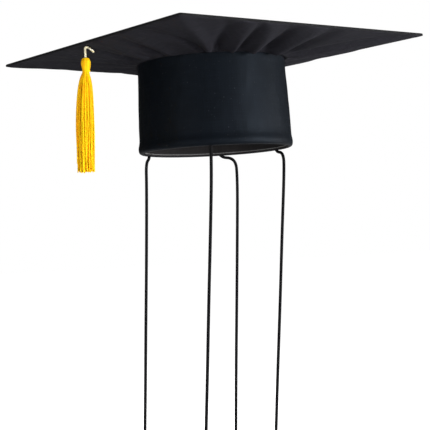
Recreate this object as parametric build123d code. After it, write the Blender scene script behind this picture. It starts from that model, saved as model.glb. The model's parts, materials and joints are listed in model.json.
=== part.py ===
from build123d import *
import math
import os

# A graduation cap with a small crown: a square card board covered in cloth, a round cloth crown,
# a tassel that hangs near the middle of the front-left edge, and four tie cords under the rim.
# Millimetres. The origin is the centre of the crown's mouth, in the plane of its rim. +Z runs up
# the crown's axis, and the board's corners point along X and Y, with the front corner at -Y.

# Cloth and card
cloth = 0.6
lining_cloth = 0.5
card = 1.5

# Board
board_side = 240.0
board_corner_radius = 2.0
board_core_thickness = 0.8
board_rise = 80.0

# Crown
rim_radius = 61.0
crown_top_radius = 59.0
crown_height = 70.5
rim_wall = 4.2
hem_height = 22.0
roll_height = 7.0
disc_drop = 2.1

# Button at the middle of the board's top
button_radius = 11.0
button_height = 6.0
button_gather_radius = 4.0
thread_radius = 0.6
washer_radius = 5.0
washer_thickness = 0.8
thread_knot_radius = 1.0

# Tie cords: each route starts in the rim roll and ends at its knot
cord_diameter = 2.5
knot_radius = 3.4
knot_height = 6.0
knot_tail = 13.0
stitch_radius = 0.4
stitch_height = 4.4
cord_routes = {
    "front": [(3.1, -58.9, 5.8), (2.8, -58.9, -14), (-0.9, -59.2, -64), (-5.7, -59.8, -124),
              (-10.2, -60.3, -184), (-15.1, -60.8, -244)],
    "right": [(44.7, 38.4, 6.8), (44.9, 38.3, -1.2), (52.4, 27.3, -2.6), (52.0, 26.6, -19),
              (47.3, 26.0, -70), (42.2, 25.5, -130), (36.6, 24.9, -190), (31.9, 24.3, -246)],
    "back": [(-5.0, 58.7, 6.8), (-4.9, 58.7, -1.2), (9.4, 59.9, -2.6), (10.3, 60.0, -19),
             (7.1, 59.6, -72), (3.2, 59.1, -132), (-0.8, 58.7, -192), (-4.0, 58.2, -248)],
    "left": [(-56.4, 15.9, 6.8), (-56.5, 15.7, -1.2), (-59.0, 10.3, -5), (-59.5, 10.1, -24),
             (-63.0, 9.7, -85), (-66.7, 9.2, -142), (-70.0, 8.8, -196), (-73.2, 8.4, -244)],
}

# Tassel cord, from its stitch in the under cover to the place where it turns down. Each place is
# its distance in from the front-left edge, and along that edge from its middle towards the front.
tassel_cord_diameter = 1.6
tassel_gap = 0.3
tassel_stitch_place = (16.2, -11.0)
tassel_tack_place = (7.4, -5.1)
tassel_hang_place = (4.2, -4.8)
tassel_pivot_drop = 3.2
tassel_bend_drop = 0.6
upper_cord_length = 3.6
tack_width = 1.0

# Tassel
head_drop = 9.4
head_height = 8.2
head_radius = 3.2
neck_radius = 2.4
binding_height = 2.2
binding_thickness = 0.5
skirt_top_radius = 4.0
skirt_radius = 6.6
skirt_shoulder = 34.0
skirt_length = 75.4
core_cord_depth = 5.2

# Places that follow from the sizes above
cord_radius = cord_diameter / 2
tassel_cord_radius = tassel_cord_diameter / 2
mouth_radius = rim_radius - rim_wall
core_bottom = board_rise + cloth
core_top = core_bottom + board_core_thickness
board_top = core_top + cloth
band_radius = rim_radius - cloth
band_top_radius = crown_top_radius - cloth
disc_top = core_bottom - disc_drop
disc_bottom = disc_top - card


def place(radius, height):
    """A point of a turned section: distance from the crown's axis, and height."""
    return (radius, 0, height)


def turned(*lines):
    """A solid turned round the crown's axis from a closed section."""
    edges = [edge for line in lines for edge in line.edges()]
    return revolve(Face(Wire(edges)), Axis.Z)


def turned_corners(*points):
    """A solid turned round the crown's axis from a section with straight sides."""
    return turned(Polyline(*[place(*point) for point in points], close=True))


def column(radius, low, high):
    """An upright cylinder on the crown's axis between two heights."""
    return Pos(0, 0, low) * Cylinder(radius, high - low, align=(Align.CENTER, Align.CENTER, Align.MIN))


def square(side, corner_radius, low, high):
    """A square plate whose corners point along X and Y, between two heights."""
    outline = RectangleRounded(side, side, corner_radius)
    return Pos(0, 0, low) * Rot(0, 0, 45) * extrude(outline, high - low)


def rounded_rim(inner, outer, foot, top):
    """The lines of a section with a half-round foot, from its outer top round to its inner top."""
    radius = (outer - inner) / 2
    middle = (outer + inner) / 2
    foot_line = ThreePointArc(place(outer, foot + radius), place(middle, foot), place(inner, foot + radius))
    outer_line = Line(place(outer, top), place(outer, foot + radius))
    inner_line = Line(place(inner, foot + radius), place(inner, top))
    return [outer_line, foot_line, inner_line]


# Board

def board_core():
    """The stiff square card, pierced for the button's thread."""
    plate = square(board_side - 2 * cloth, board_corner_radius - cloth, core_bottom, core_top)
    return plate - column(thread_radius, core_bottom, core_top)


def board_top_cover():
    """Cloth over the board's top and down round its edges."""
    whole = square(board_side, board_corner_radius, board_rise, board_top)
    inside = square(board_side - 2 * cloth, board_corner_radius - cloth, board_rise, core_top)
    return whole - inside - column(thread_radius, core_top, board_top)


def square_loop(height):
    """The under cover's square edge as four sides and four corner arcs."""
    half = board_side / 2 - cloth
    corner = board_corner_radius - cloth
    flat = half - corner
    turn = corner * math.sqrt(0.5)
    edges = []
    for side in range(4):
        quarter = Rot(0, 0, 90 * side + 45)
        edges.append(quarter * Line((half, -flat, height), (half, flat, height)))
        corner_middle = (flat + turn, flat + turn, height)
        corner_arc = ThreePointArc((half, flat, height), corner_middle, (flat, half, height))
        edges.append(quarter * corner_arc)
    return Wire([edge for line in edges for edge in line.edges()])


def round_loop(height):
    """The under cover's round edge, cut into arcs that match the square's sides and corners."""
    half = board_side / 2 - cloth
    flat = half - (board_corner_radius - cloth)
    reach = math.degrees(math.atan2(flat, half))
    edges = []
    for side in range(4):
        middle = 90 * side + 45
        edges.append(CenterArc((0, 0, height), crown_top_radius, middle - reach, 2 * reach))
        edges.append(CenterArc((0, 0, height), crown_top_radius, middle + reach, 90 - 2 * reach))
    return Wire([edge for line in edges for edge in line.edges()])


def tent(lift):
    """The space over the under cover, from the crown's top edge out to the board's edges."""
    return Solid.make_loft([round_loop(crown_height + lift), square_loop(board_rise + lift)], ruled=True)


def board_under_cover():
    """Cloth drawn in from the board's edges down to the crown's top edge."""
    edge_strip = square(board_side - 2 * cloth, board_corner_radius - cloth, board_rise, core_bottom)
    hole = column(crown_top_radius, crown_height, core_bottom)
    return (tent(0) + edge_strip) - tent(cloth) - hole


# Crown

def crown_sleeve():
    """The crown's cloth: up the outside, round the rim's foot and up inside as a hem."""
    outer = rounded_rim(mouth_radius, rim_radius, 0, hem_height)
    inner = rounded_rim(mouth_radius + cloth, rim_radius - cloth, cloth, hem_height)
    top_line = Polyline(
        place(rim_radius, hem_height), place(crown_top_radius, crown_height),
        place(crown_top_radius, core_bottom), place(band_top_radius, core_bottom),
        place(band_top_radius, crown_height), place(band_radius, hem_height))
    hem_edge = Line(place(mouth_radius, hem_height), place(mouth_radius + cloth, hem_height))
    return turned(*outer, hem_edge, *inner, top_line)


def rim_roll():
    """The soft roll that rounds the rim's foot inside the hem."""
    lines = rounded_rim(mouth_radius + cloth, band_radius, cloth, roll_height)
    top_line = Line(place(mouth_radius + cloth, roll_height), place(band_radius, roll_height))
    return turned(*lines, top_line)


def crown_band():
    """The card wall of the crown, from the roll up to the board's card."""
    return turned_corners(
        (band_radius, roll_height), (band_radius, hem_height), (band_top_radius, crown_height),
        (band_top_radius, core_bottom), (band_top_radius - card, core_bottom),
        (band_top_radius - card, crown_height), (band_radius - card, hem_height),
        (band_radius - card, roll_height))


def crown_lining():
    """Thin lining cloth inside the card wall, up to the crown's disc."""
    low, high = band_radius - card, band_top_radius - card
    return turned_corners(
        (low, roll_height), (low, hem_height), (high, crown_height), (high, disc_bottom),
        (high - lining_cloth, disc_bottom), (high - lining_cloth, crown_height),
        (low - lining_cloth, hem_height), (low - lining_cloth, roll_height))


def hem_wadding():
    """The soft strip that fills the hem between the lining and the turned-in cloth."""
    outer = band_radius - card - lining_cloth
    inner = mouth_radius + cloth
    return turned_corners(
        (outer, roll_height), (outer, hem_height), (inner, hem_height), (inner, roll_height))


def crown_top_disc():
    """The card disc that closes the crown under the board."""
    return column(band_top_radius - card, disc_bottom, disc_top)


def lining_top():
    """The lining's round top, under the crown's disc."""
    return column(band_top_radius - card - lining_cloth, disc_bottom - lining_cloth, disc_bottom)


# Button

def dome(radius, base, top):
    """A flat-bottomed dome on the crown's axis."""
    height = top - base
    sphere_radius = (radius ** 2 + height ** 2) / (2 * height)
    ball = Pos(0, 0, top - sphere_radius) * Sphere(sphere_radius)
    return ball & column(radius, base, top)


def button_core():
    """The button's stiff mould."""
    return dome(button_radius - cloth, board_top + cloth, board_top + button_height - cloth)


def button_cover():
    """Cloth over the button's mould, gathered in under it."""
    gather = column(button_gather_radius, board_top, board_top + cloth)
    return dome(button_radius, board_top, board_top + button_height) - button_core() - gather


def button_washer():
    """The washer under the board's card that the button's thread pulls against."""
    low = core_bottom - washer_thickness
    return column(washer_radius, low, core_bottom) - column(thread_radius, low, core_bottom)


def button_thread():
    """The thread through the board, with its knot under the washer."""
    knot_middle = core_bottom - washer_thickness - thread_knot_radius * math.sqrt(0.5)
    knot = Pos(0, 0, knot_middle) * Sphere(thread_knot_radius)
    knot &= column(washer_radius, disc_top, core_bottom - washer_thickness)
    return column(thread_radius, core_bottom - washer_thickness, board_top + cloth) + knot


# Tie cords

def corner_radii(points):
    """For each corner of a route, 0.45 of its shorter run over the tangent of half its turn."""
    radii = []
    for before, corner, after in zip(points, points[1:], points[2:]):
        run_in = Vector(corner) - Vector(before)
        run_out = Vector(after) - Vector(corner)
        half_turn = math.radians(run_in.get_angle(run_out)) / 2
        radii.append(0.45 * min(run_in.length, run_out.length) / math.tan(half_turn))
    return radii


def tube(points, radius):
    """A plain tube along straight runs joined by tangent arcs, and the length of its path."""
    path = FilletPolyline(*points, radius=corner_radii(points))
    section = Plane(points[0], z_dir=Vector(points[1]) - Vector(points[0])) * Circle(radius)
    return sweep(section, path=path), path.length


def cord_stitches():
    """One stitch of thread through each cord's end, across the rim roll."""
    stitches = []
    for points in cord_routes.values():
        turn = math.degrees(math.atan2(points[0][1], points[0][0]))
        across = Pos(mouth_radius + cloth, 0, stitch_height) * Rot(0, 90, 0)
        length = rim_wall - 2 * cloth
        stitch = Cylinder(stitch_radius, length, align=(Align.CENTER, Align.CENTER, Align.MIN))
        stitches.append(Rot(0, 0, turn) * across * stitch)
    return Compound(stitches)


def end_knot(points):
    """The overhand knot under a cord, with its short tail."""
    down = (Vector(points[-1]) - Vector(points[-2])).normalized()
    seat = Plane(points[-1], z_dir=down)
    body = Pos(0, 0, knot_height / 2) * Sphere(knot_radius)
    body &= Cylinder(knot_radius, knot_height, align=(Align.CENTER, Align.CENTER, Align.MIN))
    tail = Cylinder(cord_radius, knot_height + knot_tail, align=(Align.CENTER, Align.CENTER, Align.MIN))
    return seat * (body + tail)


# Tassel

def on_front_left(inset, along):
    """A place on the plan, from its distance in from the front-left edge and along that edge."""
    outward = Vector(-1, -1) * math.sqrt(0.5)
    forward = Vector(1, -1) * math.sqrt(0.5)
    spot = outward * (board_side / 2 - inset) + forward * along
    return spot.X, spot.Y


def under_cover_height(x, y):
    """The height of the under cover's lower face above a place on the plan."""
    distance = math.hypot(x, y)
    edge_distance = distance * (board_side / 2 - cloth) * math.sqrt(2) / (abs(x) + abs(y))
    share = (distance - crown_top_radius) / (edge_distance - crown_top_radius)
    return crown_height + (board_rise - crown_height) * share


hang_x, hang_y = on_front_left(*tassel_hang_place)
pivot_height = under_cover_height(hang_x, hang_y) - tassel_pivot_drop
sideways_pivot_height = pivot_height - upper_cord_length
head_top = under_cover_height(hang_x, hang_y) - head_drop
head_bottom = head_top - head_height


def on_hang_line(height):
    """A place on the line that the tassel hangs on."""
    return Pos(hang_x, hang_y, height)


def hanging_cylinder(radius, low, high):
    """An upright cylinder on the line that the tassel hangs on."""
    return on_hang_line(low) * Cylinder(radius, high - low, align=(Align.CENTER, Align.CENTER, Align.MIN))


def tassel_cord_run():
    """The tassel's cord along the under cover, from its stitch to where it turns down."""
    clearance = tassel_cord_radius + tassel_gap
    points = []
    for spot in (tassel_stitch_place, tassel_tack_place):
        x, y = on_front_left(*spot)
        points.append((x, y, under_cover_height(x, y) - clearance))
    bend_height = under_cover_height(hang_x, hang_y) - clearance - tassel_bend_drop
    points.append((hang_x, hang_y, bend_height))
    points.append((hang_x, hang_y, pivot_height))
    run, length = tube(points, tassel_cord_radius)
    rounded_end = on_hang_line(pivot_height) * Sphere(tassel_cord_radius)
    return run + rounded_end, length


def stitch_over_run(spot, other, width):
    """A band of thread round the tassel's cord at a spot of its run, up to the under cover."""
    x, y = on_front_left(*spot)
    other_x, other_y = on_front_left(*other)
    toward = math.degrees(math.atan2(other_y - y, other_x - x))
    middle = under_cover_height(x, y) - tassel_cord_radius - tassel_gap
    band = Rot(0, 0, toward) * Rot(0, 90, 0) * Cylinder(tassel_cord_radius + tassel_gap, width)
    return Pos(x, y, middle) * band


def tassel_cord_upper():
    """The top half of the hanging cord, which swings in and out."""
    low, high = sideways_pivot_height, pivot_height - tassel_cord_radius - tassel_gap
    rounded_end = on_hang_line(low) * Sphere(tassel_cord_radius)
    return hanging_cylinder(tassel_cord_radius, low, high) + rounded_end


def tassel_cord_lower():
    """The lower half of the hanging cord, which swings sideways."""
    high = sideways_pivot_height - tassel_cord_radius - tassel_gap
    return hanging_cylinder(tassel_cord_radius, head_top + tassel_gap, high)


def turned_tassel(*lines):
    """A tassel piece turned round its own upright axis."""
    return Pos(hang_x, hang_y, 0) * turned(*lines)


def core_cord():
    """The end of the cord, bound inside the tassel's head."""
    return hanging_cylinder(tassel_cord_radius, head_top - core_cord_depth, head_top)


def tassel_head():
    """The yarns' folded top above the neck."""
    widest = head_bottom + head_height * 0.55
    crown_edge = head_radius * 0.6
    curve = Spline(
        place(crown_edge, head_top), place(head_radius, widest), place(neck_radius, head_bottom),
        tangents=((1, 0, -0.35), (0, 0, -1)))
    rest = Polyline(
        place(neck_radius, head_bottom), place(0, head_bottom), place(0, head_top),
        place(crown_edge, head_top))
    return turned_tassel(curve, rest) - core_cord()


def tassel_binding():
    """Yarn wound round the neck under the head."""
    low = head_bottom - binding_height
    outer = hanging_cylinder(neck_radius + binding_thickness, low, head_bottom)
    return outer - hanging_cylinder(neck_radius, low, head_bottom)


def tassel_skirt():
    """The hanging yarns, as one full body that swells below the neck."""
    top = head_bottom - binding_height
    shoulder = top - skirt_shoulder
    low = top - skirt_length
    curve = Spline(
        place(skirt_top_radius, top - binding_height), place(skirt_radius, shoulder),
        place(skirt_radius, low), tangents=((0.35, 0, -1), (0, 0, -1)))
    rest = Polyline(
        place(skirt_radius, low), place(0, low), place(0, head_bottom), place(neck_radius, head_bottom),
        place(neck_radius, top), place(skirt_top_radius, top - binding_height))
    return turned_tassel(curve, rest)


def main():
    os.makedirs("parts", exist_ok=True)
    stitches = cord_stitches()
    under_cover = board_under_cover()
    sleeve = crown_sleeve()
    roll = rim_roll() - stitches
    nodes = {}
    for side, points in cord_routes.items():
        cord, length = tube(points, cord_radius)
        radii = ", ".join(f"{radius:.1f}" for radius in corner_radii(points))
        print(f"cord_{side}: {length:.1f} long, arc radii {radii}")
        plain_volume = math.pi * cord_radius ** 2 * length
        print(f"    volume over section times length {cord.volume / plain_volume:.4f}")
        sleeve -= cord
        roll -= cord
        nodes[f"cord_{side}"] = cord - stitches
        nodes[f"knot_{side}"] = end_knot(points)

    run, length = tassel_cord_run()
    print(f"tassel cord run: {length:.1f} long")
    fixing = stitch_over_run(tassel_stitch_place, tassel_tack_place, 2 * tack_width) - run - under_cover
    tack = stitch_over_run(tassel_tack_place, tassel_stitch_place, tack_width) - run - under_cover

    nodes.update({
        "board_core": board_core(),
        "board_top_cover": board_top_cover(),
        "board_under_cover": under_cover,
        "crown_band": crown_band(),
        "crown_sleeve": sleeve,
        "crown_lining": crown_lining(),
        "crown_top_disc": crown_top_disc(),
        "lining_top": lining_top(),
        "rim_roll": roll,
        "hem_wadding": hem_wadding(),
        "button_core": button_core(),
        "button_cover": button_cover(),
        "button_thread": button_thread(),
        "button_washer": button_washer(),
        "cord_stitches": stitches,
        "tassel_cord_run": run,
        "tassel_cord_stitch": fixing,
        "tassel_cord_tack": tack,
        "tassel_cord_upper": tassel_cord_upper(),
        "tassel_cord_lower": tassel_cord_lower(),
        "tassel_core_cord": core_cord(),
        "tassel_head": tassel_head(),
        "tassel_binding": tassel_binding(),
        "tassel_skirt": tassel_skirt(),
    })
    print(f"in-and-out pivot: {hang_x:.2f}, {hang_y:.2f}, {pivot_height:.2f}")
    print(f"sideways pivot: {hang_x:.2f}, {hang_y:.2f}, {sideways_pivot_height:.2f}")
    for name, solid in nodes.items():
        export_step(solid, f"parts/{name}.step")


main()
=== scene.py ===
import json
import math
import random

import bmesh
import bpy
from mathutils import Matrix, Vector, noise


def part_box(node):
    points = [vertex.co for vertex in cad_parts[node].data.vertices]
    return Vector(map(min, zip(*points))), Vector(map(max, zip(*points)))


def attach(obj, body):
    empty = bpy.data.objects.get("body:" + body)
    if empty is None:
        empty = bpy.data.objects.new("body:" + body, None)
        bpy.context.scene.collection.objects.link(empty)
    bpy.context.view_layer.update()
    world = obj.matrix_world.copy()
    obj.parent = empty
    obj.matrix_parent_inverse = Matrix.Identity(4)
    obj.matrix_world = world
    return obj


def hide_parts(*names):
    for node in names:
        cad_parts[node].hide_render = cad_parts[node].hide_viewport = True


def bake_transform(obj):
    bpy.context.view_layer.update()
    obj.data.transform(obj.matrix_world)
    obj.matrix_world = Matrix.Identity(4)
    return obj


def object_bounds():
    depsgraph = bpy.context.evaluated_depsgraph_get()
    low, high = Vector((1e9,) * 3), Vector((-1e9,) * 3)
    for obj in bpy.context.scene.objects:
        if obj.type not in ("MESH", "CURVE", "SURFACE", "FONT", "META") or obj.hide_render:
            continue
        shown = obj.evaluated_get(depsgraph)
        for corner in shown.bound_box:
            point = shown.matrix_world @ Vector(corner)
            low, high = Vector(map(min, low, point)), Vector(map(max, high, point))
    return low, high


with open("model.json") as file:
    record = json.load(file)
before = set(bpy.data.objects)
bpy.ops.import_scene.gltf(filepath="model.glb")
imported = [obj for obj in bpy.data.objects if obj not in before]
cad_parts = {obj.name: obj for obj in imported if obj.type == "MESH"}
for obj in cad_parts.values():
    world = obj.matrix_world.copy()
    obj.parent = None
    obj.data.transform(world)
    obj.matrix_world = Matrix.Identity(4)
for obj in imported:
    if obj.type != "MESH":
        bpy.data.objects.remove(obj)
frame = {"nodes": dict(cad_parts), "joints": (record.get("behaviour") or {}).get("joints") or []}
cad_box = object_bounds()
scene = bpy.context.scene
draw = random.Random(12)

# Metres throughout. The board's corners point along X and Y, with the front corner at -Y.

# Sizes and places read from the frame
board_low, board_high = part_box("board_top_cover")
sleeve_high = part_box("crown_sleeve")[1]
disc_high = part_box("crown_top_disc")[1]
button_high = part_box("button_cover")[1]
head_low, head_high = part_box("tassel_head")
binding_low, binding_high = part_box("tassel_binding")
skirt_low, skirt_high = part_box("tassel_skirt")
pivots = {joint["name"]: Vector(joint["pos_m"]) for joint in frame["joints"]}

# Sizes that the maker's patterns give
cloth = 0.0006
card = 0.0015
board_corner = 0.002
rim_wall = 0.0042
cord_diameter = 0.0025
tassel_cord_diameter = 0.0016
yarn_diameter = 0.0009

# Places that follow from them
half_side = (board_high.x - board_corner) / math.sqrt(2) + board_corner
rim_radius = sleeve_high.x
crown_top_radius = disc_high.x + card + cloth
mouth_radius = rim_radius - rim_wall
foot_radius = rim_wall / 2
crown_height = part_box("board_under_cover")[0].z
hem_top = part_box("hem_wadding")[1].z
lining_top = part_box("lining_top")[0].z
edge_bottom = board_low.z
board_top = board_high.z
knot_low = cad_box[0].z
tassel_x = (head_low.x + head_high.x) / 2
tassel_y = (head_low.y + head_high.y) / 2
tassel_line = Vector((tassel_x, tassel_y, 0))
UP = Vector((0, 0, 1))


# Camera, light and floor

def add_camera():
    """A long lens a little under the board, leaning as the hung cap leans."""
    lens = bpy.data.cameras.new("camera")
    lens.sensor_width = 36.0
    lens.lens = 104.9
    lens.clip_start = 0.01
    lens.clip_end = 50.0
    camera = bpy.data.objects.new("camera", lens)
    stand = (0.1124, -0.9966, -0.0732)
    turn, tilt, lean = 0.116, 0.022, -0.0569
    aim = Matrix.Rotation(turn, 4, "Z") @ Matrix.Rotation(math.pi / 2 + tilt, 4, "X")
    place = Matrix.Translation(stand)
    camera.matrix_world = place @ aim @ Matrix.Rotation(lean, 4, "Z")
    scene.collection.objects.link(camera)
    scene.camera = camera


def add_softbox(name, place, target, size, power):
    """A soft rectangular light that faces a target."""
    light = bpy.data.lights.new(name, "AREA")
    light.shape = "RECTANGLE"
    light.size, light.size_y = size
    light.energy = power
    lamp = bpy.data.objects.new(name, light)
    place = Vector(place)
    aim = (Vector(target) - place).to_track_quat("-Z", "Y").to_matrix().to_4x4()
    lamp.matrix_world = Matrix.Translation(place) @ aim
    scene.collection.objects.link(lamp)


def add_world():
    """A white studio: full white where it is seen, softer as a light."""
    world = bpy.data.worlds.new("studio")
    world.use_nodes = True
    nodes, links = world.node_tree.nodes, world.node_tree.links
    light_strength, seen_strength = 0.06, 1.0
    strength = nodes.new("ShaderNodeMapRange")
    strength.inputs["To Min"].default_value = light_strength
    strength.inputs["To Max"].default_value = seen_strength
    links.new(nodes.new("ShaderNodeLightPath").outputs["Is Camera Ray"], strength.inputs["Value"])
    links.new(strength.outputs["Result"], nodes["Background"].inputs["Strength"])
    nodes["Background"].inputs["Color"].default_value = (1.0, 1.0, 1.0, 1.0)
    scene.world = world


def add_floor():
    """A pale plain floor, white where it is seen and clear from beneath."""
    reach, gap = 12.0, 0.02
    bm = bmesh.new()
    bmesh.ops.create_grid(bm, x_segments=1, y_segments=1, size=reach)
    bmesh.ops.translate(bm, verts=bm.verts, vec=(0, 0, knot_low - gap))
    mesh = bpy.data.meshes.new("floor")
    bm.to_mesh(mesh)
    bm.free()
    floor = bpy.data.objects.new("floor", mesh)
    scene.collection.objects.link(floor)
    material = bpy.data.materials.new("pale_floor")
    material.use_nodes = True
    nodes, links = material.node_tree.nodes, material.node_tree.links
    paint = nodes["Principled BSDF"]
    paint.inputs["Base Color"].default_value = (0.9, 0.9, 0.9, 1)
    paint.inputs["Roughness"].default_value = 0.9
    paint.inputs["Emission Color"].default_value = (1, 1, 1, 1)
    links.new(nodes.new("ShaderNodeLightPath").outputs["Is Camera Ray"], paint.inputs["Emission Strength"])
    mix = nodes.new("ShaderNodeMixShader")
    links.new(nodes.new("ShaderNodeNewGeometry").outputs["Backfacing"], mix.inputs[0])
    links.new(paint.outputs[0], mix.inputs[1])
    links.new(nodes.new("ShaderNodeBsdfTransparent").outputs[0], mix.inputs[2])
    links.new(mix.outputs[0], nodes["Material Output"].inputs["Surface"])
    mesh.materials.append(material)


add_camera()
add_world()
add_floor()
add_softbox("side_softbox", (1.07, 0.27, -0.16), (0, 0, 0.04), (0.5, 0.6), 8.0)
add_softbox("strip_softbox", (1.0, -0.42, -0.13), (0.03, 0, 0.04), (0.08, 0.7), 18.0)
add_softbox("left_fill", (-0.75, -1.2, 0.02), (-0.1, -0.05, 0.03), (0.5, 0.5), 5.0)
add_softbox("front_fill", (0.62, -1.5, -0.3), (-0.05, 0, 0.03), (0.7, 0.7), 17.0)
add_softbox("top_light", (-0.15, 0.25, 0.8), (0, 0, 0.08), (0.4, 0.4), 9.0)
scene.view_settings.view_transform = "Standard"


# Shader nodes

def feed(tree, socket, value):
    """Joins a socket to another, or sets its plain value."""
    if isinstance(value, bpy.types.NodeSocket):
        tree.links.new(value, socket)
    else:
        socket.default_value = value


def maths(tree, operation, *values):
    """One sum on numbers or sockets."""
    node = tree.nodes.new("ShaderNodeMath")
    node.operation = operation
    for socket, value in zip(node.inputs, values):
        feed(tree, socket, value)
    return node.outputs[0]


def cloudy(tree, vector, scale, detail=2.0):
    """Noise of one scale, or of a scale for each axis."""
    node = tree.nodes.new("ShaderNodeTexNoise")
    if isinstance(scale, tuple):
        stretch = tree.nodes.new("ShaderNodeMapping")
        feed(tree, stretch.inputs["Vector"], vector)
        stretch.inputs["Scale"].default_value = scale
        vector, scale = stretch.outputs[0], 1.0
    feed(tree, node.inputs["Vector"], vector)
    node.inputs["Scale"].default_value = scale
    node.inputs["Detail"].default_value = detail
    return node.outputs[0]


def between(tree, value, low, high, start=0.0, end=1.0):
    """A value's place between two limits, as a number between two others."""
    node = tree.nodes.new("ShaderNodeMapRange")
    numbers = {"Value": value, "From Min": low, "From Max": high, "To Min": start, "To Max": end}
    for name, number in numbers.items():
        feed(tree, node.inputs[name], number)
    return node.outputs[0]


def tinted(tree, share, first, second):
    """A colour between two others."""
    node = tree.nodes.new("ShaderNodeMix")
    node.data_type = "RGBA"
    feed(tree, node.inputs[0], share)
    feed(tree, node.inputs[6], first)
    feed(tree, node.inputs[7], second)
    return node.outputs[2]


def new_group(name, numbers, outputs):
    """An empty node group that takes a map and some numbers, with its inputs and outputs."""
    tree = bpy.data.node_groups.new(name, "ShaderNodeTree")
    tree.interface.new_socket("Map", in_out="INPUT", socket_type="NodeSocketVector")
    for label, value in numbers.items():
        number = tree.interface.new_socket(label, in_out="INPUT", socket_type="NodeSocketFloat")
        number.default_value = value
    for label in outputs:
        tree.interface.new_socket(label, in_out="OUTPUT", socket_type="NodeSocketFloat")
    return tree, tree.nodes.new("NodeGroupInput").outputs, tree.nodes.new("NodeGroupOutput").inputs


def plain_weave_group():
    """Plain weave on a map in metres: its relief, its uneven threads and pale lint specks."""
    tree, given, out = new_group("plain_weave", {"Thread": 0.0005}, ["Height", "Threads", "Lint"])
    across_slub, along_slub = 1800, 50
    lint_scale, lint_starts, lint_full = (900, 600, 1), 0.78, 0.83
    weave_share = 0.35
    split = tree.nodes.new("ShaderNodeSeparateXYZ")
    feed(tree, split.inputs[0], given["Map"])
    waves = []
    for axis in (0, 1):
        turns = maths(tree, "DIVIDE", maths(tree, "MULTIPLY", split.outputs[axis], math.pi), given["Thread"])
        waves.append(maths(tree, "SINE", turns))
    warp = cloudy(tree, given["Map"], (across_slub, along_slub, 1), 1.0)
    weft = cloudy(tree, given["Map"], (along_slub, across_slub, 1), 1.0)
    slubs = maths(tree, "MULTIPLY", maths(tree, "ADD", warp, weft), 0.5)
    weave = maths(tree, "MULTIPLY", waves[0], waves[1])
    feed(tree, out["Height"], maths(tree, "MULTIPLY_ADD", weave, weave_share, slubs))
    feed(tree, out["Threads"], between(tree, slubs, 0.35, 0.65))
    specks = cloudy(tree, given["Map"], lint_scale, 0.0)
    feed(tree, out["Lint"], between(tree, specks, lint_starts, lint_full))
    return tree


def plied_yarn_group():
    """Plied yarn on a tube's map, along and round: ply relief, a groove mask for painted groove shade and
    fine fibres.
    """
    tree, given, out = new_group("plied_yarn", {"Plies": 2.0, "Turns": 20.0}, ["Height", "Groove_shade", "Fibre"])
    split = tree.nodes.new("ShaderNodeSeparateXYZ")
    feed(tree, split.inputs[0], given["Map"])
    around = maths(tree, "MULTIPLY", split.outputs[1], given["Plies"])
    along = maths(tree, "MULTIPLY", split.outputs[0], given["Turns"])
    turns = maths(tree, "MULTIPLY", maths(tree, "ADD", around, along), 2 * math.pi)
    wave = maths(tree, "MULTIPLY_ADD", maths(tree, "SINE", turns), 0.5, 0.5)
    fibre_scale, fibre_share = (70, 12, 1), 0.35
    fibre = cloudy(tree, given["Map"], fibre_scale, 3.0)
    feed(tree, out["Height"], maths(tree, "MULTIPLY_ADD", fibre, fibre_share, wave))
    feed(tree, out["Groove_shade"], maths(tree, "SUBTRACT", 1.0, wave))
    feed(tree, out["Fibre"], fibre)
    return tree


plain_weave = plain_weave_group()
plied_yarn = plied_yarn_group()


def new_material(name, roughness, specular):
    """A material, its node tree and its shader with the plain values set."""
    material = bpy.data.materials.new(name)
    material.use_nodes = True
    shader = material.node_tree.nodes["Principled BSDF"]
    shader.inputs["Roughness"].default_value = roughness
    shader.inputs["Specular IOR Level"].default_value = specular
    return material, material.node_tree, shader


def add_relief(tree, shader, height, distance, strength):
    """A small relief in the surface's normal."""
    node = tree.nodes.new("ShaderNodeBump")
    node.inputs["Strength"].default_value = strength
    node.inputs["Distance"].default_value = distance
    feed(tree, node.inputs["Height"], height)
    feed(tree, shader.inputs["Normal"], node.outputs[0])


def woven_cloth(name, dark, light, roughness, specular, thread=0.0005, shine=(1, 1, 1, 1)):
    """Woven cloth between two colours, with uneven threads, cloudy wear and lint."""
    cloud_scale, lint_share, rough_spread = 30.0, 0.08, 0.06
    lint_colour = (0.2, 0.2, 0.22, 1)
    material, tree, shader = new_material(name, roughness, specular)
    shader.inputs["Specular Tint"].default_value = shine
    weave = tree.nodes.new("ShaderNodeGroup")
    weave.node_tree = plain_weave
    feed(tree, weave.inputs["Map"], tree.nodes.new("ShaderNodeUVMap").outputs[0])
    weave.inputs["Thread"].default_value = thread
    clouds = cloudy(tree, tree.nodes.new("ShaderNodeTexCoord").outputs["Object"], cloud_scale)
    half_clouds = maths(tree, "MULTIPLY", clouds, 0.5)
    share = maths(tree, "MULTIPLY_ADD", weave.outputs["Threads"], 0.5, half_clouds)
    lint = maths(tree, "MULTIPLY", weave.outputs["Lint"], lint_share)
    threads = tinted(tree, share, dark, light)
    feed(tree, shader.inputs["Base Color"], tinted(tree, lint, threads, lint_colour))
    uneven = between(tree, weave.outputs["Threads"], 0, 1, roughness + rough_spread, roughness - rough_spread)
    feed(tree, shader.inputs["Roughness"], uneven)
    add_relief(tree, shader, weave.outputs["Height"], 0.0001, 0.5)
    return material


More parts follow.
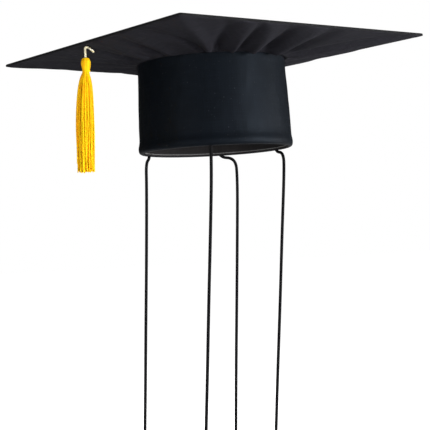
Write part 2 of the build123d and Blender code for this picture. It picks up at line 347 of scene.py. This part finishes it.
def plied_cord(name, groove_shade, face, roughness, plies, turns, depth=0.0001, streaks=0.0):
    """Plied yarn or cord between a painted groove shade colour and the colour of its face."""
    specular = 0.12
    material, tree, shader = new_material(name, roughness, specular)
    yarn = tree.nodes.new("ShaderNodeGroup")
    yarn.node_tree = plied_yarn
    feed(tree, yarn.inputs["Map"], tree.nodes.new("ShaderNodeUVMap").outputs[0])
    yarn.inputs["Plies"].default_value = plies
    yarn.inputs["Turns"].default_value = turns
    # Painted shade: the colour turns to the darker groove colour where the plies dip into their grooves;
    # streaks add uneven tone along the yarn.
    shade = between(tree, yarn.outputs["Groove_shade"], 0.45, 1.0)
    if streaks:
        streak_scale = (700, 700, 14)
        place = tree.nodes.new("ShaderNodeTexCoord").outputs["Object"]
        long_streaks = between(tree, cloudy(tree, place, streak_scale, 1.0), 0.35, 0.65)
        shade = maths(tree, "ADD", maths(tree, "MULTIPLY", shade, 1 - streaks),
                      maths(tree, "MULTIPLY", long_streaks, streaks))
    shaded = tinted(tree, shade, face, groove_shade)
    tint = tree.nodes.new("ShaderNodeHueSaturation")
    feed(tree, tint.inputs["Color"], shaded)
    feed(tree, tint.inputs["Value"], between(tree, yarn.outputs["Fibre"], 0.25, 0.75, 0.85, 1.1))
    feed(tree, shader.inputs["Base Color"], tint.outputs[0])
    add_relief(tree, shader, yarn.outputs["Height"], depth, 0.7)
    return material


def inner_stuff(name, dark, light, scale, roughness):
    """A hidden inner piece's finish: fibres laid one way, and clouds."""
    material, tree, shader = new_material(name, roughness, 0.25)
    place = tree.nodes.new("ShaderNodeTexCoord").outputs["Object"]
    fibres = cloudy(tree, place, (scale, scale * 0.3, scale), 4.0)
    feed(tree, shader.inputs["Base Color"], tinted(tree, between(tree, fibres, 0.3, 0.7), dark, light))
    add_relief(tree, shader, fibres, 0.0002, 0.5)
    return material


board_cloth = woven_cloth(
    "board_cloth", dark=(0.004, 0.004, 0.0046, 1), light=(0.012, 0.012, 0.0135, 1),
    roughness=0.85, specular=0.12)
under_cloth = woven_cloth(
    "under_cloth", dark=(0.0096, 0.0094, 0.0116, 1), light=(0.0185, 0.018, 0.0235, 1),
    roughness=0.75, specular=0.05)
crown_cloth = woven_cloth(
    "crown_cloth", dark=(0.0015, 0.0018, 0.0024, 1), light=(0.0038, 0.0056, 0.0086, 1),
    roughness=0.5, specular=0.08, shine=(0.65, 0.8, 1.0, 1))
facing_cloth = woven_cloth(
    "facing_cloth", dark=(0.012, 0.0115, 0.012, 1), light=(0.026, 0.024, 0.0245, 1),
    roughness=0.85, specular=0.05)
lining_cloth = woven_cloth(
    "lining_cloth", dark=(0.025, 0.0225, 0.022, 1), light=(0.045, 0.04, 0.039, 1),
    roughness=0.7, specular=0.15, thread=0.0004)
# The groove colours below are painted shade in the grooves between the plies.
tie_cord = plied_cord(
    "tie_cord", groove_shade=(0.0022, 0.0022, 0.0027, 1), face=(0.005, 0.005, 0.0058, 1), roughness=0.85,
    plies=3.0, turns=120.0, depth=0.00004)
black_thread = plied_cord(
    "black_thread", groove_shade=(0.002, 0.002, 0.002, 1), face=(0.016, 0.016, 0.018, 1), roughness=0.6,
    plies=2.0, turns=6.0)
ivory_cord = plied_cord(
    "ivory_cord", groove_shade=(0.62, 0.5, 0.22, 1), face=(0.95, 0.91, 0.72, 1), roughness=0.6,
    plies=2.0, turns=3.0, depth=0.0002)
gold_yarn = plied_cord(
    "gold_yarn", groove_shade=(1.0, 0.4, 0.002, 1), face=(1.0, 0.74, 0.004, 1), roughness=0.6,
    plies=2.0, turns=14.0, depth=0.00004, streaks=0.7)
grey_card = inner_stuff(
    "grey_card", dark=(0.22, 0.2, 0.17, 1), light=(0.36, 0.33, 0.29, 1), scale=900.0, roughness=0.9)
soft_wadding = inner_stuff(
    "soft_wadding", dark=(0.09, 0.09, 0.09, 1), light=(0.2, 0.2, 0.2, 1), scale=1400.0, roughness=1.0)
black_mould = inner_stuff(
    "black_mould", dark=(0.02, 0.02, 0.02, 1), light=(0.05, 0.05, 0.05, 1), scale=500.0, roughness=0.5)


# Ways of making pieces

def new_piece(name, source, materials, body="cap", replaced=()):
    """A finished smooth piece from a bmesh or a mesh."""
    mesh = source
    if isinstance(source, bmesh.types.BMesh):
        mesh = bpy.data.meshes.new(name)
        source.to_mesh(mesh)
        source.free()
    mesh.name = name
    for material in materials:
        mesh.materials.append(material)
    mesh.polygons.foreach_set("use_smooth", [True] * len(mesh.polygons))
    piece = bpy.data.objects.new(name, mesh)
    scene.collection.objects.link(piece)
    if body:
        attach(piece, body)
    if replaced:
        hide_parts(*replaced)
    return piece


def give_thickness(piece, thickness, offset):
    """Gives a one-sided sheet its cloth's thickness."""
    wall = piece.modifiers.new("cloth_thickness", "SOLIDIFY")
    wall.thickness = thickness
    wall.offset = offset


def lay_map(mesh, rule):
    """Lays a map in metres on a mesh: the rule takes a corner's place and its face's middle."""
    layer = mesh.uv_layers.new(name="cloth_map")
    for face in mesh.polygons:
        for corner in face.loop_indices:
            layer.data[corner].uv = rule(mesh.vertices[mesh.loops[corner].vertex_index].co, face.center)


def board_map(spot, middle):
    """Threads along the board's edges."""
    return (spot.x + spot.y) * math.sqrt(0.5), (spot.y - spot.x) * math.sqrt(0.5) + spot.z


def crown_map(spot, middle):
    """Threads up and round the crown, without a break at the back of a turn."""
    around = math.atan2(spot.y, spot.x)
    home = math.atan2(middle.y, middle.x)
    around += 2 * math.pi * round((home - around) / (2 * math.pi))
    return around * rim_radius, spot.z - math.hypot(spot.x, spot.y)


def ring_rows(bm, spokes, rows, place):
    """Grows a skin of rings round Z, where place(angle, row) gives each point, and returns its last ring."""
    ring = bmesh.ops.create_circle(bm, cap_ends=False, segments=spokes, radius=1.0)["verts"]
    angles = {vert: math.atan2(vert.co.y, vert.co.x) % (2 * math.pi) for vert in ring}
    edges = list({edge for vert in ring for edge in vert.link_edges})
    for row in range(rows + 1):
        if row:
            new = bmesh.ops.extrude_edge_only(bm, edges=edges)["geom"]
            grown = {item for item in new if isinstance(item, bmesh.types.BMVert)}
            rungs = [(vert, next(edge.other_vert(vert) for edge in vert.link_edges
                                 if edge.other_vert(vert) in angles)) for vert in grown]
            angles = {vert: angles[old] for vert, old in rungs}
            edges = [item for item in new if isinstance(item, bmesh.types.BMEdge)
                     and item.verts[0] in grown and item.verts[1] in grown]
        for vert, angle in angles.items():
            vert.co = place(angle, row)
    bmesh.ops.recalc_face_normals(bm, faces=bm.faces)
    return list(angles)


def cylindrical(radius, angle, height):
    """A point from its distance and angle round the crown's axis, and its height."""
    return Vector((radius * math.cos(angle), radius * math.sin(angle), height))


def strand_curve(name, lines, radius, steps, sides):
    """A curve of round strands, each along one open NURBS spline."""
    curve = bpy.data.curves.new(name, "CURVE")
    curve.dimensions = "3D"
    curve.resolution_u = steps
    curve.bevel_depth = radius
    curve.bevel_resolution = sides
    for line in lines:
        spline = curve.splines.new("NURBS")
        spline.points.add(len(line) - 1)
        for point, place in zip(spline.points, line):
            point.co = (*place, 1.0)
        spline.order_u = 3
        spline.use_endpoint_u = True
    return curve


def splines_mesh(name, lines, radius, steps=6, sides=2):
    """A mesh of round strands with closed ends, or of their middle lines where the radius is 0."""
    curve = strand_curve(name, lines, radius, steps, sides)
    curve.use_fill_caps = radius > 0
    carrier = bpy.data.objects.new(name, curve)
    mesh = bpy.data.meshes.new_from_object(carrier)
    bpy.data.objects.remove(carrier)
    bpy.data.curves.remove(curve)
    return mesh


def line_length(points):
    """The length of a line through points."""
    return sum((after - before).length for before, after in zip(points, points[1:]))


# Tie cords

MILLIMETRE = 0.001
CORD_ROUTES = {
    "front": [(3.1, -58.9, 5.8), (2.8, -58.9, -14), (-0.9, -59.2, -64), (-5.7, -59.8, -124),
              (-10.2, -60.3, -184), (-15.1, -60.8, -244)],
    "right": [(44.7, 38.4, 6.8), (44.9, 38.3, -1.2), (52.4, 27.3, -2.6), (52.0, 26.6, -19),
              (47.3, 26.0, -70), (42.2, 25.5, -130), (36.6, 24.9, -190), (31.9, 24.3, -246)],
    "back": [(-5.0, 58.7, 6.8), (-4.9, 58.7, -1.2), (9.4, 59.9, -2.6), (10.3, 60.0, -19),
             (7.1, 59.6, -72), (3.2, 59.1, -132), (-0.8, 58.7, -192), (-4.0, 58.2, -248)],
    "left": [(-56.4, 15.9, 6.8), (-56.5, 15.7, -1.2), (-59.0, 10.3, -5), (-59.5, 10.1, -24),
             (-63.0, 9.7, -85), (-66.7, 9.2, -142), (-70.0, 8.8, -196), (-73.2, 8.4, -244)],
}
# An overhand knot on a cord that comes from above, and its tail; Z runs up the cord
KNOT_LAY = [(0, 0, 4.0), (0.2, 0.7, 2.2), (1.3, 1.0, 0.2), (2.1, 0.1, -2.0), (0.4, -1.4, -2.9),
            (-1.9, -1.5, -1.3), (-2.3, 0.4, 0.9), (-0.5, 1.9, 2.2), (1.8, 1.1, 1.9), (2.2, -1.0, 0.4),
            (0.6, -2.0, -1.2), (-0.6, -0.7, -3.4), (-0.1, 0.0, -5.6), (0.2, 0.2, -10.5), (0.0, 0.5, -15.8)]


def tie_cord_piece(side):
    """One tie cord, hanging from the rim roll to its knot."""
    route = [Vector(point) * MILLIMETRE for point in CORD_ROUTES[side]]
    steps = 16
    curve = strand_curve(f"tie_cord_{side}", [route], cord_diameter / 2, steps, sides=4)
    curve.materials.append(tie_cord)
    piece = bpy.data.objects.new(f"tie_cord_{side}", curve)
    scene.collection.objects.link(piece)
    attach(piece, "cap")
    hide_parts(f"cord_{side}")
    knot = cord_knot(side, route)
    centreline = splines_mesh("centreline", [route], 0.0, steps)
    length = line_length([vert.co for vert in centreline.vertices])
    bpy.data.meshes.remove(centreline)


def cord_knot(side, route):
    """The overhand knot under a cord, with its short tail."""
    knot_drop = 0.003
    down = (route[-1] - route[-2]).normalized()
    middle = route[-1] + down * knot_drop
    turn = (-down).to_track_quat("Z", "Y")
    lay = [middle + turn @ (Vector(point) * MILLIMETRE) for point in KNOT_LAY]
    mesh = splines_mesh(f"tie_knot_{side}", [lay], cord_diameter / 2, 8, 3)
    return new_piece(f"tie_knot_{side}", mesh, [tie_cord], "cap", [f"knot_{side}"])


for side in CORD_ROUTES:
    tie_cord_piece(side)


# Board

def board_edge(angle):
    """The distance from the crown's axis to the board's edge at an angle."""
    straight = half_side * math.sqrt(2) / (abs(math.cos(angle)) + abs(math.sin(angle)))
    return min(straight, board_high.x - cloth)


# Folds of the under cover: degrees round the crown at the crown and near the board's edge,
# the share of the way out where that second place is, depth in millimetres (up into the
# board if negative, where the card stops them) and half width in degrees
FRONT_FOLDS = [
    (241, 242, 0.9, -1.1, 3.0), (250, 249, 0.9, 0.9, 4.5), (272, 258, 0.71, -1.3, 2.6),
    (276.5, 269.5, 0.9, 1.2, 3.2), (280, 283.5, 0.9, -1.6, 2.4), (291, 290, 0.9, 1.5, 3.4),
    (296, 294, 0.9, -1.3, 2.2), (307, 299, 0.9, 1.7, 4.0), (318, 309, 0.9, -1.8, 3.2),
    (327, 321, 0.9, 1.7, 4.4), (342, 329, 0.9, -1.6, 4.0)]


def other_folds():
    """Folds of the same kind round the rest of the cover."""
    folds = []
    first_angle, last_angle, slant = -8.0, 232, 7
    angle = first_angle
    while angle < last_angle:
        deep = draw.uniform(0.7, 1.7) * (1 if len(folds) % 2 else -1)
        folds.append((angle, angle + draw.uniform(-slant, slant), 0.9, deep, draw.uniform(2.4, 4.6)))
        angle += draw.uniform(8.0, 14.0)
    return folds


under_folds = FRONT_FOLDS + other_folds()
fold_depth = 2.7


def fold_drop(angle, out):
    """How far the folds lower the under cover at an angle, a share of the way out."""
    full_at, fade = 0.12, 0.45
    degrees = math.degrees(angle)
    drop = 0.0
    for inner, outer, reach, deep, width in under_folds:
        line = inner + (outer - inner) * out / reach
        away = (degrees - line + 180) % 360 - 180
        drop += deep * math.exp(-(away / width) ** 2)
    swell = min(1.0, out / full_at) * (1 - out) ** fade
    return drop * swell * fold_depth * MILLIMETRE


def under_cover():
    """The cloth stretched under the board from the crown's head to the board's edge."""
    spokes, rows = 600, 44
    ripple_scale, ripple_height = 60, 0.0004

    def place(angle, row):
        out = row / rows
        radius = crown_top_radius + (board_edge(angle) - cloth - crown_top_radius) * out
        height = crown_height + (edge_bottom - crown_height) * out
        ripple = noise.noise(cylindrical(radius, angle, 0) * ripple_scale) * ripple_height
        ripple *= math.sin(math.pi * out)
        return cylindrical(radius, angle, min(edge_bottom, height - fold_drop(angle, out) + ripple))

    bm = bmesh.new()
    ring_rows(bm, spokes, rows, place)
    piece = new_piece("under_cover", bm, [under_cloth], "cap", ["board_under_cover"])
    lay_map(piece.data, board_map)
    if sum(face.normal.z for face in piece.data.polygons) > 0:
        piece.data.flip_normals()
    give_thickness(piece, cloth, -1.0)


def top_cover():
    """The cloth over the board's top, wrapped down round its edges."""
    edge_round = 0.0009
    across = 120
    soft_scale, soft_height, below_top = 38, 0.00025, 0.0002
    bm = bmesh.new()
    bmesh.ops.create_grid(bm, x_segments=across, y_segments=across, size=half_side - edge_round)
    core = half_side - board_corner

    def outward(spot):
        inner = Vector((max(-core, min(core, spot.x)), max(-core, min(core, spot.y)), 0))
        return inner, (Vector((spot.x, spot.y, 0)) - inner).normalized()

    for vert in bm.verts:
        if abs(vert.co.x) > core and abs(vert.co.y) > core:
            inner, way = outward(vert.co)
            reach = max(abs(vert.co.x - inner.x), abs(vert.co.y - inner.y))
            vert.co = inner + way * reach
        soft = noise.noise(vert.co * soft_scale) * soft_height
        vert.co.z = board_top - below_top + soft
    edges = [edge for edge in bm.edges if edge.is_boundary]
    section = [(board_corner - edge_round * (1 - math.sin(turn)),
                board_top - edge_round * (1 - math.cos(turn))) for turn in (0.5, 1.0, math.pi / 2)]
    section += [(board_corner, (board_top + edge_bottom) / 2), (board_corner, edge_bottom + 0.0005),
                (board_corner - 0.0004, edge_bottom), (board_corner - 0.003, edge_bottom + 0.0003)]
    for reach, height in section:
        new = bmesh.ops.extrude_edge_only(bm, edges=edges)["geom"]
        grown = [item for item in new if isinstance(item, bmesh.types.BMVert)]
        for vert in grown:
            inner, way = outward(vert.co)
            vert.co = inner + way * reach
            vert.co.z = height
        edges = [item for item in new if isinstance(item, bmesh.types.BMEdge) and item.is_boundary]
    bmesh.ops.rotate(bm, verts=bm.verts, cent=(0, 0, 0), matrix=Matrix.Rotation(math.pi / 4, 3, "Z"))
    bmesh.ops.recalc_face_normals(bm, faces=bm.faces)
    piece = new_piece("top_cover", bm, [board_cloth], "cap", ["board_top_cover"])
    lay_map(piece.data, board_map)
    give_thickness(piece, cloth * 0.7, -1.0)


under_cover()
top_cover()


# Crown

def crown_sleeve():
    """The crown's cloth: up the outside, round the rim's foot and up inside as a hem."""
    middle = rim_radius - foot_radius
    roll_swell, roll_middle, roll_spread = 0.0009, 0.0042, 0.0036
    hem_slack, slack_scale = 0.0022, 4.5
    broad_scale, broad_depth = 2.4, 0.0007
    fine_scale, fine_depth = 7, 0.0003
    stretch_up, fade_height = 9, 0.012
    section = [(crown_top_radius, edge_bottom + cloth), (crown_top_radius, crown_height)]
    section += [(rim_radius + (crown_top_radius - rim_radius) * share,
                 hem_top + (crown_height - hem_top) * share)
                for share in (0.97, 0.9, 0.8, 0.7, 0.6, 0.5, 0.4, 0.3, 0.2, 0.1, 0.0)]
    section += [(rim_radius, hem_top * share) for share in (0.8, 0.6, 0.45, 0.38, 0.31, 0.25, 0.2, 0.15)]
    section += [(middle + foot_radius * math.cos(turn), foot_radius * (1 - math.sin(turn)))
                for turn in (0.0, 0.4, 0.8, 1.2, math.pi / 2, 1.95, 2.35, 2.75, math.pi)]
    foot_rows = len(section)
    section += [(mouth_radius, hem_top * share) for share in (0.3, 0.5, 0.7, 0.9, 0.98, 1.0)]

    def place(angle, row):
        radius, height = section[row]
        if row < foot_rows:  # the soft roll fills the cloth out a little
            radius += roll_swell * math.exp(-((height - roll_middle) / roll_spread) ** 2)
        soft = 0.0
        spot = cylindrical(1.0, angle, height * stretch_up)
        if row > foot_rows:
            soft = hem_slack * max(0.0, noise.noise(spot * slack_scale))
        if 1 < row < foot_rows - 8:
            soft = noise.noise(spot * broad_scale) * broad_depth + noise.noise(spot * fine_scale) * fine_depth
            soft *= min(1.0, (crown_height - height) / fade_height) * min(1.0, height / fade_height)
        return cylindrical(radius - abs(soft), angle, height)

    bm = bmesh.new()
    ring_rows(bm, 256, len(section) - 1, place)
    inside = middle - foot_radius * 0.6
    for face in bm.faces:
        centre = face.calc_center_median()
        face.material_index = 1 if math.hypot(centre.x, centre.y) < inside else 0
    piece = new_piece("crown_sleeve_cloth", bm, [crown_cloth, facing_cloth], "cap",
                      ["crown_sleeve"])
    lay_map(piece.data, crown_map)
    outer = [face for face in piece.data.polygons if face.center.z > hem_top * 1.5]
    if sum(face.normal.dot(Vector((face.center.x, face.center.y, 0))) for face in outer) < 0:
        piece.data.flip_normals()
    give_thickness(piece, cloth, -1.0)


def lining():
    """The thin lining inside the crown, up its wall and across its top, with soft folds."""
    wall_rows, top_rows = 22, 14
    wall = mouth_radius + cloth
    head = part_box("lining_top")[1].x - cloth
    tuck, droop, apex_drop = 0.002, 0.0012, 0.0003
    inset_depth, fold_height, fold_scale = 0.0011, 0.001, 5.5
    pucker_scale, opening = 7, 0.985

    def place(angle, row):
        if row <= wall_rows:
            share = row / wall_rows
            height = hem_top - tuck + (lining_top - hem_top + tuck) * share
            folds = noise.noise(cylindrical(1.0, angle, height * 4) * fold_scale)
            inset = (inset_depth + fold_height * folds) * math.sin(math.pi * min(1.0, share * 1.05)) ** 0.5
            return cylindrical(wall + (head - wall) * share - max(0.0, inset), angle, height)
        share = (row - wall_rows) / top_rows
        radius = head * (1 - share * opening)
        pucker = noise.noise(cylindrical(1.0, angle, 0) * pucker_scale + Vector((0, 0, share * 2)))
        return cylindrical(radius, angle, lining_top - droop * math.sin(math.pi * share) * (1 + pucker))

    bm = bmesh.new()
    last = ring_rows(bm, 192, wall_rows + top_rows, place)
    bmesh.ops.pointmerge(bm, verts=last, merge_co=(0, 0, lining_top - apex_drop))
    piece = new_piece("lining", bm, [lining_cloth], "cap", ["crown_lining", "lining_top"])
    lay_map(piece.data, crown_map)
    roof = [face for face in piece.data.polygons if face.center.z > lining_top - 0.003]
    if sum(face.normal.z for face in roof) > 0:
        piece.data.flip_normals()
    give_thickness(piece, cloth * 0.6, -1.0)


def hem_stitches():
    """Slanted stitches round the top of the hem, inside the crown."""
    # A stitch's points: out from the mouth's wall, round it in radians, and up from the hem's top
    lay = [(0.0004, -0.008, -0.0016), (-0.0002, -0.004, -0.001),
           (-0.0002, 0.008, 0.0004), (0.0005, 0.012, 0.0009)]
    count = 96
    thread_radius = 0.00022
    lines = []
    for n in range(count):
        angle = 2 * math.pi * (n + draw.uniform(-0.08, 0.08)) / count
        lines.append([cylindrical(mouth_radius + out, angle + turn, hem_top + lift)
                      for out, turn, lift in lay])
    mesh = splines_mesh("hem_stitches", lines, thread_radius, 4, 1)
    new_piece("hem_stitches", mesh, [black_thread])


crown_sleeve()
lining()
hem_stitches()


# Button

def button():
    """The cloth-covered button on the board's top."""
    radius = button_high.x
    height = button_high.z - board_top
    rows = 18
    pleats, pleat_depth = 14, 0.00022

    def place(angle, row):
        turn = row / rows * math.pi / 2
        pleat = pleat_depth * math.sin(angle * pleats + math.sin(angle * 3)) * math.cos(turn) ** 3
        out = (radius - 0.0003) * math.cos(turn) ** 0.55 + pleat
        return cylindrical(out, angle, board_top + 0.0001 + (height - 0.0002) * math.sin(turn) ** 1.15)

    bm = bmesh.new()
    last = ring_rows(bm, 96, rows, place)
    bmesh.ops.pointmerge(bm, verts=last, merge_co=(0, 0, button_high.z))
    piece = new_piece("button_cloth", bm, [board_cloth], "cap", ["button_cover"])
    lay_map(piece.data, board_map)


button()


# Tassel

def tassel_cord():
    """The ivory cord: sewn under the board, then hanging free in two straight halves from its swing pivot
    down into the head.
    """
    swing, sway = pivots["tassel_swing"], pivots["tassel_sway"]
    radius = tassel_cord_diameter / 2
    bend_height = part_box("tassel_cord_run")[1].z - radius * 0.2
    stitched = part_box("tassel_cord_stitch")
    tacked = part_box("tassel_cord_tack")
    sewn_end = (stitched[0] + stitched[1]) / 2
    sewn_end.z = stitched[0].z + radius
    tack = (tacked[0] + tacked[1]) / 2
    tack.z = bend_height
    hang = Vector((tassel_x, tassel_y, bend_height))
    bend_reach = UP * 0.0006
    under_swing = swing + bend_reach
    on_link = (swing + sway) / 2
    in_head = Vector((tassel_x, tassel_y, head_high.z - 0.002))
    run = splines_mesh("tassel_cord_sewn", [[sewn_end, tack, hang, under_swing]], radius, 12, 4)
    new_piece("tassel_cord_sewn", run, [ivory_cord], "cap", ["tassel_cord_run"])
    for half, top, bottom, pivot, above, below in (
            ("upper", under_swing, on_link, swing, "cap", "tassel_link"),
            ("lower", on_link, in_head, sway, "tassel_link", "tassel_drop")):
        name = f"tassel_cord_{half}_half"
        steps = 8
        line = [top.lerp(bottom, step / steps) for step in range(steps + 1)]
        mesh = splines_mesh(name, [line], radius, 3, 4)
        piece = new_piece(name, mesh, [ivory_cord], None, [f"tassel_cord_{half}"])
        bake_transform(piece)


def tassel_tack():
    """Fine thread over the tassel's cord where it is tacked to the under cover."""
    low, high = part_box("tassel_cord_tack")
    middle = (low + high) / 2
    swing = pivots["tassel_swing"]
    along = Vector((swing.x - middle.x, swing.y - middle.y, 0)).normalized()
    across = along.cross(UP)
    thread_radius = 0.00012
    reach = tassel_cord_diameter / 2 + 0.0002
    round_cord = ((1.1, 1.6), (1.2, 0.2), (0.9, -1.1), (-0.9, -1.1), (-1.2, 0.2), (-1.1, 1.6))
    lines = []
    for shift in (-0.0004, 0.0001, 0.0005):
        centre = middle + along * shift
        centre.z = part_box("tassel_cord_run")[1].z - tassel_cord_diameter / 2
        lines.append([centre + across * (side * reach) + UP * (lift * reach) for side, lift in round_cord])
    mesh = splines_mesh("tassel_tack_thread", lines, thread_radius, 6, 1)
    new_piece("tassel_tack_thread", mesh, [black_thread], "cap", ["tassel_cord_tack"])


def tassel_head():
    """Yarns folded over the cord, pulled in at the neck."""
    low, high = head_low.z, head_high.z
    widest = (head_high.x - head_low.x) / 2
    neck = (binding_high.x - binding_low.x) / 2 - 0.0005
    height = high - low
    lines = []
    yarns, twist = 26, 0.03
    section = [(0.0008, high - 0.0003), (widest * 0.55, high + 0.0002), (widest * 0.98, high - height * 0.28),
               (widest * 0.93, low + height * 0.34), (neck, low + 0.0003), (neck, low - 0.0015)]
    for n in range(yarns):
        angle = 2 * math.pi * (n + draw.uniform(-0.2, 0.2)) / yarns
        lines.append([tassel_line + cylindrical(radius, angle + k * twist, z)
                      for k, (radius, z) in enumerate(section)])
    mesh = splines_mesh("tassel_head_yarns", lines, yarn_diameter / 2, 6, 2)
    new_piece("tassel_head_yarns", mesh, [gold_yarn], "tassel", ["tassel_head"])


def tassel_binding():
    """Yarn wound round the neck."""
    low, high = binding_low.z, binding_high.z
    radius = (binding_high.x - binding_low.x) / 2 - yarn_diameter * 0.3
    turns, per_turn = 4, 10
    end_gap = yarn_diameter * 0.3
    line = []
    for k in range(turns * per_turn + 1):
        angle = 2 * math.pi * k / per_turn
        height = high - end_gap - (high - low - 2 * end_gap) * k / (turns * per_turn)
        line.append(tassel_line + cylindrical(radius * 1.04, angle, height))
    mesh = splines_mesh("tassel_neck_binding", [line], yarn_diameter * 0.42, 3, 2)
    new_piece("tassel_neck_binding", mesh, [gold_yarn], "tassel", ["tassel_binding"])


def tassel_skirt():
    """The hanging yarns: each falls from the neck, swells out and wanders a little to a ragged end."""
    low, high = skirt_low.z, skirt_high.z
    widest = (skirt_high.x - skirt_low.x) / 2
    neck = (binding_high.x - binding_low.x) / 2 - yarn_diameter * 0.5
    lean = Vector((-0.0041, -0.0002, 0))
    golden_turn = 2.39996
    tuck, ragged, short_yarn, short_share = 0.001, 0.0035, 0.005, 0.08
    wander_reach = 0.00045
    shape = [(0.0, 0.36), (0.03, 0.42), (0.09, 0.7), (0.22, 0.93), (0.42, 1.06), (0.65, 1.1), (0.85, 1.06),
             (1.0, 1.04)]
    lines = []
    yarns = 150
    for n in range(yarns):
        share = math.sqrt((n + 0.5) / yarns)
        angle = n * golden_turn + draw.uniform(-0.2, 0.2)
        wander = draw.uniform(-0.16, 0.16)
        end = low + draw.uniform(0.0, ragged) + (short_yarn if draw.random() < short_share else 0.0)
        line = []
        for k, (drop, spread) in enumerate(shape):
            height = high - tuck + (end - high + tuck) * drop
            radius = max(0.0, widest * spread * share - yarn_diameter * 0.4)
            if k < 2:
                radius = min(neck, radius)
            turn = angle + wander * drop + draw.uniform(-0.05, 0.05) * drop
            spot = tassel_line + cylindrical(radius, turn, height)
            spot += Vector((draw.uniform(-1, 1), draw.uniform(-1, 1), 0)) * wander_reach * drop
            line.append(spot + lean * drop ** 0.65)
        lines.append(line)
    mesh = splines_mesh("tassel_skirt_yarns", lines, yarn_diameter / 2, 4, 1)
    new_piece("tassel_skirt_yarns", mesh, [gold_yarn], "tassel", ["tassel_skirt"])


tassel_cord()
tassel_tack()
tassel_head()
tassel_binding()
tassel_skirt()


# Inner pieces keep their made shapes and take their finishes

INNER_FINISHES = {
    "board_core": grey_card, "crown_band": grey_card, "crown_top_disc": grey_card,
    "rim_roll": soft_wadding, "hem_wadding": soft_wadding,
    "button_core": black_mould, "button_washer": black_mould,
    "button_thread": black_thread, "cord_stitches": black_thread,
    "tassel_cord_stitch": black_thread,
    "tassel_core_cord": ivory_cord,
}
for node, finish in INNER_FINISHES.items():
    shown = frame["nodes"][node]
    for slot in shown.material_slots:
        slot.link = "OBJECT"
        slot.material = finish
